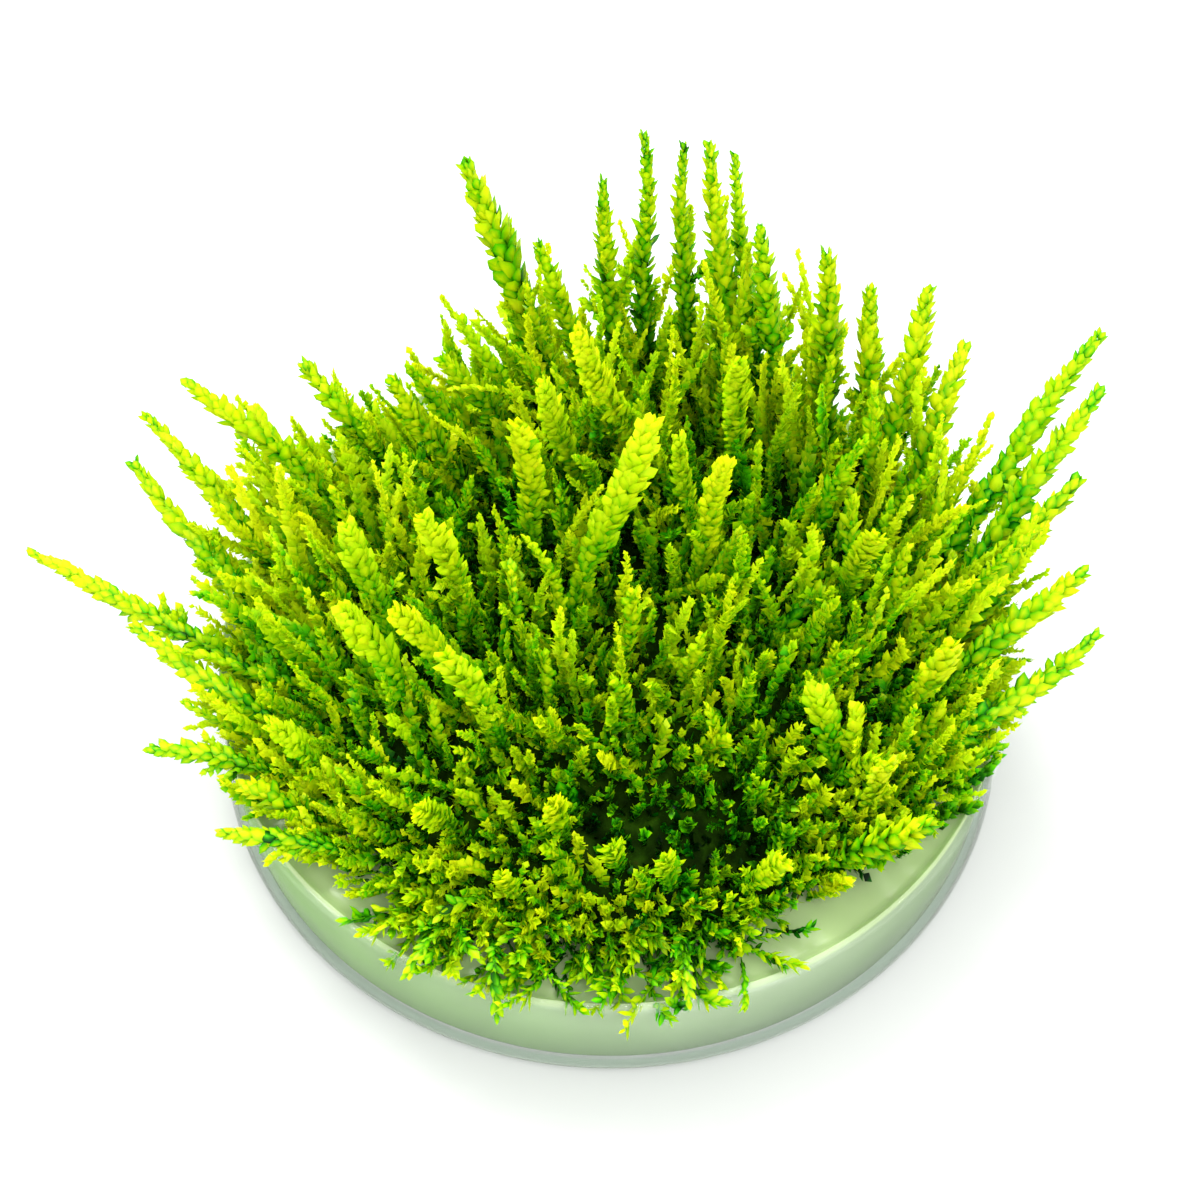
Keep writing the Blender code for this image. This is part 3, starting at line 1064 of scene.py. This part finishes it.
@dataclass
class Undergrowth:
    """Short and middling shoots that fill the clump between the long ones.

    Pull is how far, in millimetres, a long shoot bends the growth to its own direction.
    Front_gap is the width, in radians, of the front that is held back; its rim is free
    for front_half degrees to each side of front_bearing.  Clump_size is the width of a
    tuft, farthest the distance out from which tips are drawn back in, and rooting how
    deep a foot stands in the mat.
    """

    lines: dict
    mat_low: np.ndarray
    mat_high: np.ndarray
    seed: int = 23
    pull: float = 7.0
    sectors: int = 6
    front_gap: float = 0.7
    front_bearing: float = -88.0
    front_half: float = 44.0
    farthest: float = 52.5
    clump_size: float = 13.0
    rooting: float = 1.5
    foot_jitter: float = 0.8
    # Tufts are lighter in their middles and darker in the gaps between them: painted light and painted shade.
    tuft_youth: float = 0.12
    tuft_length: float = 0.18
    hollow_loss: float = 0.65
    front_loss: float = 0.55
    # Patches that lower youth paint shade in the hollows; the wide ones round the back and sides that raise
    # it paint light where the clump is backlit.
    patches: tuple[Patch, ...] = (
        Patch(10.0, -30.0, 7.0, 0.08, -0.75), Patch(-1.0, -27.0, 4.5, 0.15, -0.6),
        Patch(18.0, 17.0, 5.0, 0.15, -0.5), Patch(-14.0, 10.0, 5.5, 0.15, -0.5),
        Patch(33.0, -11.0, 5.0, 0.3, -0.4), Patch(1.0, 8.0, 4.5, 0.15, -0.4),
        Patch(22.0, 0.0, 4.0, 0.3, -0.35), Patch(-20.0, -10.0, 5.0, 0.3, -0.4),
        Patch(3.0, -6.0, 7.0, 0.5, 0.4), Patch(6.0, -16.0, 5.0, 0.9, 0.35),
        Patch(-14.0, -25.0, 4.0, 0.6, 0.25), Patch(38.0, -26.0, 12.0, 1.0, -0.1),
        Patch(-34.0, 8.0, 16.0, 1.0, 0.18), Patch(-10.0, 34.0, 15.0, 1.0, 0.2),
        Patch(20.0, 36.0, 12.0, 1.0, 0.2), Patch(40.0, 12.0, 12.0, 1.0, 0.14),
        Patch(-30.0, -26.0, 14.0, 1.0, 0.1), Patch(-21.0, 34.0, 9.0, 0.45, 0.0),
        Patch(2.0, -10.0, 14.0, 1.0, 0.12),
    )
    layers: tuple[Growth, ...] = (
        # The underfur's low youth makes a dark layer under the rest: the old leaves there, and painted shade
        # deep in the clump.
        Growth("underfur", 1450, (1.6, 3.8), (0.0, 1.02), 0.8, small_leaved(3.2, 1, 0.6, LeafShape()),
               {"radius": (0.8, 1.25), "youth": (0.05, 0.5)}),
        Growth("carpet", 1420, (3.5, 8.5), (0.0, 1.04), 0.5, small_leaved(4.2, 2, 0.4),
               {"radius": (0.7, 1.1), "youth": (0.35, 0.9)}, thinned=0.5, spill=0.35),
        Growth("thicket", 800, (0.3, 0.76), (0.0, 1.0), 0.42, small_leaved(5.0, 3, 0.35),
               {"radius": (0.85, 1.4), "youth": (0.5, 1.1), "bend": (0.03, 0.14)},
               relative=True, thinned=1.0),
        Growth("frondlet", 100, (0.5, 0.88), (0.15, 1.0), 0.34,
               ShootDresser(leaves_per_mm=3.8, leaf_length=1.4, stem_rings=4, outline=0.35,
                            shape=LeafShape(half_width=0.34, curl=0.2, cup=0.35)),
               {"radius": (1.2, 1.7), "youth": (0.8, 1.1), "bend": (0.03, 0.12), "flatness": (0.5, 0.9),
                "spread": (0.6, 0.8)}, relative=True, thinned=1.0),
        Growth("fringe", 900, (4.0, 9.5), (0.86, 1.07), 0.42, small_leaved(4.4, 2, 0.35),
               {"radius": (0.8, 1.25), "youth": (0.5, 1.0)}, spill=0.5),
        Growth("right_edge", 760, (4.0, 8.5), (0.9, 1.08), 0.5, small_leaved(4.4, 2, 0.35),
               {"radius": (0.8, 1.25), "youth": (0.35, 0.9)}, spill=0.5, arc=(-34.0, 8.0), front_held=0.0,
               lift=0.1, swirl=0.4),
        Growth("front_sprig", 860, (3.5, 9.5), (0.9, 1.06), 0.75,
               ShootDresser(leaves_per_mm=2.2, stem_rings=4, disorder=0.4,
                            shape=LeafShape(half_width=0.26, curl=0.15, cup=0.3)),
               {"radius": (1.1, 1.7), "youth": (0.5, 0.95), "spread": (0.6, 0.9), "bend": (0.1, 0.3)},
               spill=1.6, arc=(-126.0, -64.0), front_held=0.0, lift=-0.45, swirl=1.3),
    )

    def clumping(self, place: np.ndarray) -> np.ndarray:
        """Mean of three slow sine waves over the mat, which gathers the growth in tufts.

        Args:
            place: Rows of x and y.

        Returns:
            Values from -1, a gap, to 1, the middle of a tuft.
        """
        x, y = (2.0 * np.pi * place / self.clump_size).T
        waves = (np.sin(x + 0.6 * y) + np.sin(0.8 * y - 0.7 * x + 2.0)
                 + np.sin(1.7 * x + 1.9 * np.sin(0.5 * y)))
        return waves / 3.0

    def aim(self, place: np.ndarray) -> tuple[np.ndarray, np.ndarray]:
        """Direction and length of growth at places on the mat.

        Each is the mean of the long shoots' own, weighted by a bell curve of distance.

        Args:
            place: Rows of x and y.

        Returns:
            Unit directions and lengths.
        """
        feet = np.array([line[0] for line in self.lines.values()])
        reach = np.array([line[2] - line[0] for line in self.lines.values()])
        apart = ((place[:, None] - feet[None, :, :2]) ** 2).sum(axis=2)
        weight = np.exp(-apart / (2.0 * self.pull ** 2)) + TINY
        weight /= weight.sum(axis=1, keepdims=True)
        return unit(weight @ unit(reach)), weight @ np.linalg.norm(reach, axis=1)

    def scatter(self, layer: Growth, rng: np.random.Generator) -> Shoots:
        """Place one layer's shoots over the mat.

        Feet follow a sunflower spiral inside the layer's ring, with jitter.  They are
        thinned in the hollows and kept to the layer's arc, and at the front the rim stays
        free unless the layer isn't held back there.  Shoots are shorter in hollows and at
        the front's edge, and longer in tufts.

        Args:
            layer: The layer.
            rng: Seeded random numbers.

        Returns:
            The layer's shoots.
        """
        half = (self.mat_high - self.mat_low)[:2].mean() / 2.0
        index = np.arange(layer.count) + 0.5
        inner, outer = layer.ring
        share = np.sqrt(inner ** 2 + (outer ** 2 - inner ** 2) * index / layer.count)
        angle = index * math.pi * (3.0 - math.sqrt(5.0)) + rng.normal(0.0, 0.05, layer.count)
        place = (share * half)[:, None] * np.stack([np.cos(angle), np.sin(angle)], axis=1)
        place += rng.normal(0.0, self.foot_jitter, place.shape)
        chance = np.ones(layer.count)
        tuft = self.clumping(place)
        # Painted light and shade of the tufts, then of the patches.
        shift = self.tuft_youth * tuft
        for patch in self.patches:
            weight = patch.weight(place)
            chance *= 1.0 - (1.0 - patch.left) * weight
            shift += patch.youth * weight
        bearing = np.degrees(np.arctan2(place[:, 1], place[:, 0]))
        kept = rng.uniform(size=layer.count) < chance ** layer.thinned
        kept &= (bearing > layer.arc[0]) & (bearing < layer.arc[1])
        aside = np.abs(bearing - self.front_bearing) > self.front_half
        kept &= (share < 1.0) | aside | (layer.front_held == 0.0)
        place, share, thin = place[kept], np.clip(share[kept], 0.0, 1.0), chance[kept]
        shift, tuft = shift[kept], tuft[kept]
        many = len(place)
        direction, local = self.aim(place)
        outward = np.zeros((many, 3))
        outward[:, :2] = unit(place)
        around = np.cross([0.0, 0.0, 1.0], outward) * np.where(np.arange(many) % 2, 1.0, -1.0)[:, None]
        front = np.exp(-((np.arctan2(place[:, 1], place[:, 0]) + math.pi / 2.0) / self.front_gap) ** 2)
        edge = share ** 4
        lean = (layer.spill * edge * (1.0 - layer.front_held * front))[:, None]
        direction = unit(direction + lean * outward + layer.swirl * around
                         + rng.normal(0.0, layer.disorder, (many, 3)) + [0.0, 0.0, layer.lift])
        direction[:, 2] = np.abs(direction[:, 2]) + 0.1
        length = rng.uniform(*layer.length, many) * (local if layer.relative else 1.0)
        hollow = 1.0 - self.hollow_loss * (1.0 - thin)
        held = 1.0 - self.front_loss * layer.front_held * front * edge
        length *= hollow * held * (1.0 + self.tuft_length * tuft)
        over = np.hypot(*(place + direction[:, :2] * length[:, None]).T) - self.farthest
        length -= np.clip(over, 0.0, length * 0.6)
        top = self.mat_low[2] + (self.mat_high - self.mat_low)[2] * (1.0 - 0.75 * edge)
        foot = np.concatenate([place, (top - self.rooting)[:, None]], axis=1)
        tip = foot + unit(direction) * (length + self.rooting)[:, None]
        shoots = Shoots.grown(foot, tip, rng, **layer.looks)
        # Youth rises towards the rim, painted light where the clump is backlit and painted shade in its
        # middle, and shift adds the painted light and shade of the tufts and patches.
        shoots.youth = shoots.youth * (0.85 + 0.25 * share ** 2) + shift * (0.4 + 0.6 * layer.disorder)
        return shoots

    def build(self, leaf: bpy.types.Material) -> None:
        """Grow every layer, cut into sectors round the clump so that no piece is too heavy.

        Args:
            leaf: The leaf material.
        """
        rng = np.random.default_rng(self.seed)
        for layer in self.layers:
            shoots = self.scatter(layer, rng)
            turn = np.arctan2(shoots.foot[:, 1], shoots.foot[:, 0]) % (2.0 * np.pi)
            sector = (turn * self.sectors / (2.0 * np.pi)).astype(int)
            for number in np.unique(sector):
                part = layer.dresser.dress(shoots.chosen(sector == number), rng)
                keep(part.object(f"{layer.name}_{number + 1}", leaf), "leaf")


@dataclass
class MatOfStems:
    """The low dark cushion on the gel and the wiry old stems tangled round its edge.

    The cushion's brow and dome are shares of its height, and its underside is drawn in.
    """

    low: np.ndarray
    high: np.ndarray
    spokes: int = 160
    rings: int = 34
    roughness_depth: float = 0.275
    brow: float = 0.22
    dome: float = 0.72
    drawn_in: float = 0.94
    fibres: int = 260
    fibre_ring: float = 0.78
    seed: int = 5

    def cushion(self) -> Surface:
        """Work out a domed disc as a function of share of radius and angle.

        Its height is the brow plus the dome times one less the fourth power of the share,
        roughened by products of sine waves, and its edge is waved too.

        Returns:
            The closed cushion.
        """
        half = (self.high - self.low)[:2] / 2.0
        centre = (self.high + self.low)[:2] / 2.0
        angle = np.linspace(0.0, 2.0 * np.pi, self.spokes, endpoint=False)
        share = np.linspace(0.0, 1.0, self.rings + 1)[1:][::-1]
        edge = 0.985 + 0.02 * np.sin(7.0 * angle + 0.8) + 0.012 * np.sin(19.0 * angle)
        flat_x, flat_y = (share[:, None] * edge * wave for wave in (np.cos(angle), np.sin(angle)))
        x, y = centre[0] + half[0] * flat_x, centre[1] + half[1] * flat_y
        rise = (self.high - self.low)[2]
        rough = np.sin(1.7 * x + 0.6 * y) * np.sin(1.3 * y - 0.8 * x)
        rough = rough + 0.5 * np.sin(3.1 * x) * np.sin(2.9 * y)
        height = self.brow + self.dome * (1.0 - share[:, None] ** 4)
        z = np.minimum(self.low[2] + rise * height + self.roughness_depth * rough, self.high[2])
        under = np.stack([x[0] * self.drawn_in, y[0] * self.drawn_in,
                          np.full(self.spokes, self.low[2])], axis=-1)
        top = np.stack([x, y, z], axis=-1).reshape(-1, 3)
        low_pole = [[centre[0], centre[1], self.low[2]]]
        high_pole = [[centre[0], centre[1], self.low[2] + rise * (self.brow + self.dome)]]
        vertices = np.concatenate([low_pole, under, top, high_pole])
        return Surface.plain(vertices, tube_triangles(self.rings + 1, self.spokes))

    def tangle(self, rng: np.random.Generator) -> Surface:
        """Lay thin stems round the edge of the mat, as tubes along wavy bowed lines.

        Args:
            rng: Seeded random numbers.

        Returns:
            All the stems.
        """
        half = (self.high - self.low)[:2].mean() / 2.0
        angle = rng.uniform(0.0, 2.0 * np.pi, self.fibres)
        share = rng.uniform(self.fibre_ring, 1.0, self.fibres)
        sinking = 1.2 - 0.9 * (share - self.fibre_ring) / (1.0 - self.fibre_ring)
        height = self.low[2] + rng.uniform(0.3, 2.6, self.fibres) * sinking
        foot = np.stack([half * share * np.cos(angle), half * share * np.sin(angle), height], axis=1)
        quarter = np.pi / 2.0 * np.sign(rng.normal(size=self.fibres))
        heading = angle + quarter + rng.normal(0.0, 0.5, self.fibres)
        length = rng.uniform(4.0, 13.0, self.fibres)
        run = np.stack([np.cos(heading), np.sin(heading), rng.normal(0.0, 0.05, self.fibres)], axis=1)
        tip = foot + run * length[:, None]
        reach = np.hypot(tip[:, 0], tip[:, 1])
        tip[:, :2] *= np.minimum(1.0, half * 1.02 / reach)[:, None]
        knee = (foot + tip) / 2.0 + rng.normal(0.0, 1.0, (self.fibres, 3)) * [1.6, 1.6, 0.5]
        for points in (foot, knee, tip):
            points[:, 2] = np.maximum(points[:, 2], self.low[2] + 0.1)
        shoots = Shoots.grown(foot, tip, rng, youth=(0.1, 1.6))
        shoots.knee = knee
        return ShootDresser(stem_radius=0.17, wobble=0.8).stems(shoots)

    def build(self, mat: bpy.types.Material, stem: bpy.types.Material) -> None:
        """Make the cushion and the tangle.

        Args:
            mat: Material of the cushion.
            stem: Material of the old stems.
        """
        keep(self.cushion().object("mat_cushion", mat), "mat", "moss_mat")
        keep(self.tangle(np.random.default_rng(self.seed)).object("mat_tangle", stem), "mat")


@dataclass
class DishOfGel:
    """The clear dish and the gel, turned from the sizes of their solids.

    Gap is the room between the two solids.  The gel wets the wall: it reaches sunk_in deep
    into the plastic, and its top climbs the wall over the width called wetting.
    """

    dish_high: np.ndarray
    gel_low: np.ndarray
    gel_high: np.ndarray
    steps: int = 256
    gap: float = 0.3
    draft: float = 0.5
    corner: float = 2.0
    rim: float = 0.5
    sunk_in: float = 0.12
    wetting: float = 2.0
    climb: float = 0.9
    corner_steps: int = 8
    rim_steps: int = 6

    def build(self, plastic: bpy.types.Material, gel: bpy.types.Material) -> None:
        """Turn both pieces.

        Args:
            plastic: Material of the dish.
            gel: Material of the gel.
        """
        outer, height = self.dish_high[0], self.dish_high[2]
        floor = self.gel_low[2] - self.gap
        wall = outer - self.gel_high[0] - self.gap
        foot = outer - self.draft
        inner_corner = self.corner - wall / 2.0
        dish = np.concatenate([
            [[0.0, 0.0]],
            arc((foot - self.corner, self.corner), self.corner, -90, 0, self.corner_steps),
            arc((outer - self.rim, height - self.rim), self.rim, 0, 90, self.rim_steps),
            arc((outer - wall + self.rim, height - self.rim), self.rim, 90, 180, self.rim_steps),
            arc((foot - wall - inner_corner, floor + inner_corner), inner_corner, 0, -90, self.corner_steps),
            [[0.0, floor]],
        ])
        keep(turned_surface(dish, self.steps).object("clear_dish", plastic), "dish", "dish")
        edge = outer - wall + self.sunk_in
        top = self.gel_high[2]
        share = np.linspace(0.0, 1.0, self.corner_steps + 1)
        meniscus = np.stack([edge - self.wetting * share, top + self.climb * (1.0 - share) ** 3], axis=1)
        puck = np.concatenate([
            [[0.0, floor - self.sunk_in]],
            arc((foot - wall - inner_corner + self.sunk_in, floor + inner_corner - self.sunk_in),
                inner_corner, -90, 0, self.corner_steps),
            meniscus,
            [[0.0, top]],
        ])
        keep(turned_surface(puck, self.steps).object("gel_puck", gel), "gel", "gel")


@dataclass
class Studio:
    """Plain pale floor, soft lights and the camera."""

    elevation: float = 55.0
    distance: float = 400.0
    aim: tuple[float, float, float] = (-1.3, 20.0, 0.0)
    lens: float = 90.0
    floor_size: float = 4000.0
    paper: str = "#AEB0AE"
    air_strength: float = 2.3

    def camera(self) -> None:
        """Place the camera on the front side, looking down at the clump."""
        tilt = math.radians(self.elevation)
        away = Vector((0.0, -math.cos(tilt), math.sin(tilt)))
        data = bpy.data.cameras.new("camera")
        data.lens = self.lens
        data.sensor_width = 36.0
        data.clip_start = 0.01
        camera = bpy.data.objects.new("camera", data)
        camera.location = (Vector(self.aim) + away * self.distance) * MM
        camera.rotation_euler = away.to_track_quat("Z", "Y").to_euler()
        bpy.context.scene.collection.objects.link(camera)
        bpy.context.scene.camera = camera

    def floor(self) -> None:
        """Lay the floor at the dish's underside."""
        size = self.floor_size / 2.0 * MM
        mesh = bpy.data.meshes.new("floor")
        ends = ((-size, -size, 0.0), (size, -size, 0.0), (size, size, 0.0), (-size, size, 0.0))
        mesh.from_pydata(ends, [], [(0, 1, 2, 3)])
        material, tree = blank_material("white_studio_paper")
        surface = add_node(tree, "ShaderNodeBsdfPrincipled",
                           {"Base Color": srgb(self.paper), "Roughness": 0.7, "Specular IOR Level": 0.2})
        add_node(tree, "ShaderNodeOutputMaterial", links={"Surface": surface.outputs["BSDF"]})
        mesh.materials.append(material)
        floor = bpy.data.objects.new("floor", mesh)
        bpy.context.scene.collection.objects.link(floor)

    def light(self, name: str, place: tuple[float, float, float], size: float, power: float) -> None:
        """Add one square soft light aimed at the clump.

        Args:
            name: The light's name.
            place: Where it hangs, in millimetres.
            size: Length of its side, in millimetres.
            power: Power in watts.
        """
        data = bpy.data.lights.new(name, "AREA")
        data.size = size * MM
        data.energy = power
        lamp = bpy.data.objects.new(name, data)
        lamp.location = Vector(place) * MM
        towards = Vector((0.0, 0.0, 25.0)) - Vector(place)
        lamp.rotation_euler = towards.to_track_quat("-Z", "Y").to_euler()
        bpy.context.scene.collection.objects.link(lamp)

    def build(self) -> None:
        """Set up the whole studio."""
        self.camera()
        self.floor()
        self.light("back_key", (-250.0, 500.0, 700.0), 500.0, 12.0)
        self.light("front_fill", (300.0, -500.0, 800.0), 600.0, 6.0)
        world = bpy.data.worlds.new("studio_air")
        world.use_nodes = True
        background = world.node_tree.nodes["Background"]
        background.inputs["Color"].default_value = (1.0, 1.0, 1.0, 1.0)
        background.inputs["Strength"].default_value = self.air_strength
        scene = bpy.context.scene
        scene.world = world
        scene.view_settings.view_transform = "Standard"
        scene.view_settings.look = "None"


def corners(node: str) -> tuple[np.ndarray, np.ndarray]:
    """Lowest and highest corner of a solid in millimetres."""
    low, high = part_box(node)
    return np.array(low) / MM, np.array(high) / MM


def main() -> None:
    """Build every sub-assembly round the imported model."""
    logging.basicConfig(level=logging.INFO, format="%(name)s %(message)s")
    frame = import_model()
    Studio().build()
    leaf = MossLeafFinish().material()
    stem = OldStemFinish().material()
    gel_low, gel_high = corners("gel")
    DishOfGel(corners("dish")[1], gel_low, gel_high).build(
        ClearPolystyreneFinish().material(), NutrientGelFinish().material())
    mat_low, mat_high = corners("moss_mat")
    MatOfStems(mat_low, mat_high).build(PeatyMatAndShadeFinish().material(), stem)
    long_shoots = LongShoots(frame["nodes"])
    long_shoots.build(leaf)
    Undergrowth(long_shoots.lines(), mat_low, mat_high).build(leaf)


if __name__ == "__main__":
    main()
